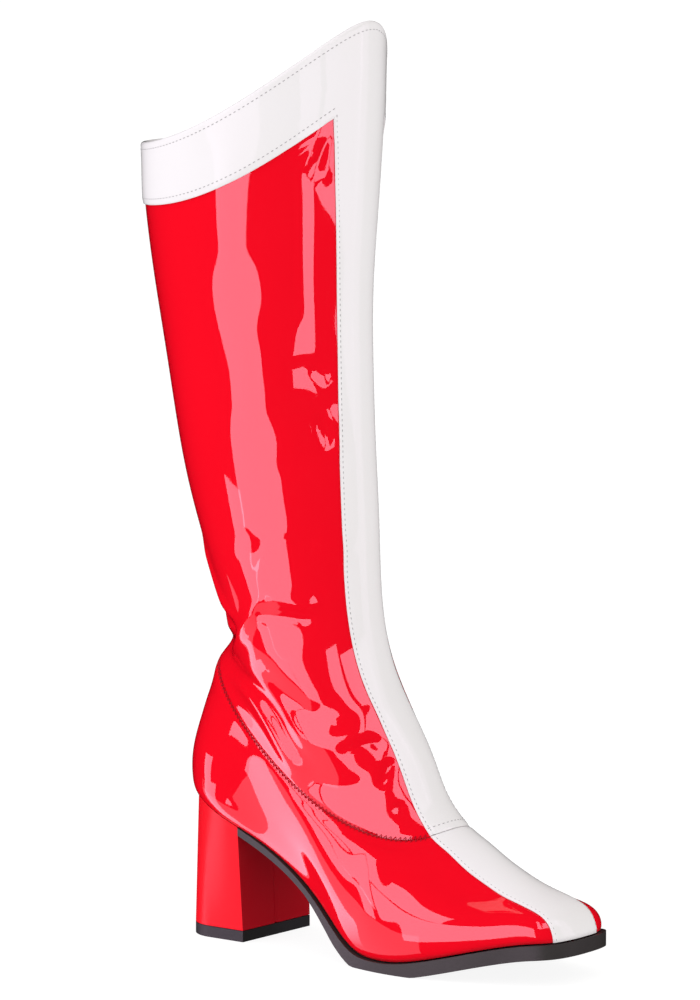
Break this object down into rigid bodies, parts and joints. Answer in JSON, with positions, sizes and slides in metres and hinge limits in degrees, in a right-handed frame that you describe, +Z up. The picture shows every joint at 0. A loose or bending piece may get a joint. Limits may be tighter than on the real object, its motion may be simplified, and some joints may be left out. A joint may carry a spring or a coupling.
{
  "type": "costume boot",
  "caption": "Right-foot calf-high patent costume boot: hollow red upper and shaft, white peaked cuff and front stripe, thin sole and wrapped block heel.",
  "frame": {"origin": "centre of the overall box in plan, on the floor that the sole and the heel stand on", "axes": "+X towards the toe, +Y towards the inner side of the foot, +Z up"},
  "size_m": [0.2526, 0.1102, 0.446],
  "materials": {
    "red_patent": "high-gloss red patent vinyl on a knit backing",
    "white_patent": "high-gloss white patent vinyl",
    "heel_patent": "red patent vinyl wrapped over the block",
    "sole_unit": "satin charcoal resin rubber",
    "lift_rubber": "matt black heel lift",
    "sock_cloth": "grey sock lining"
  },
  "bodies": {
    "root": {"outsole": "sole_unit", "heel_block": "heel_patent", "heel_lift": "lift_rubber", "insole": "sock_cloth", "upper": "red_patent", "shaft": "red_patent", "vamp_stripe": "white_patent", "cuff_and_shaft_stripe": "white_patent"}
  },
  "joints": []
}
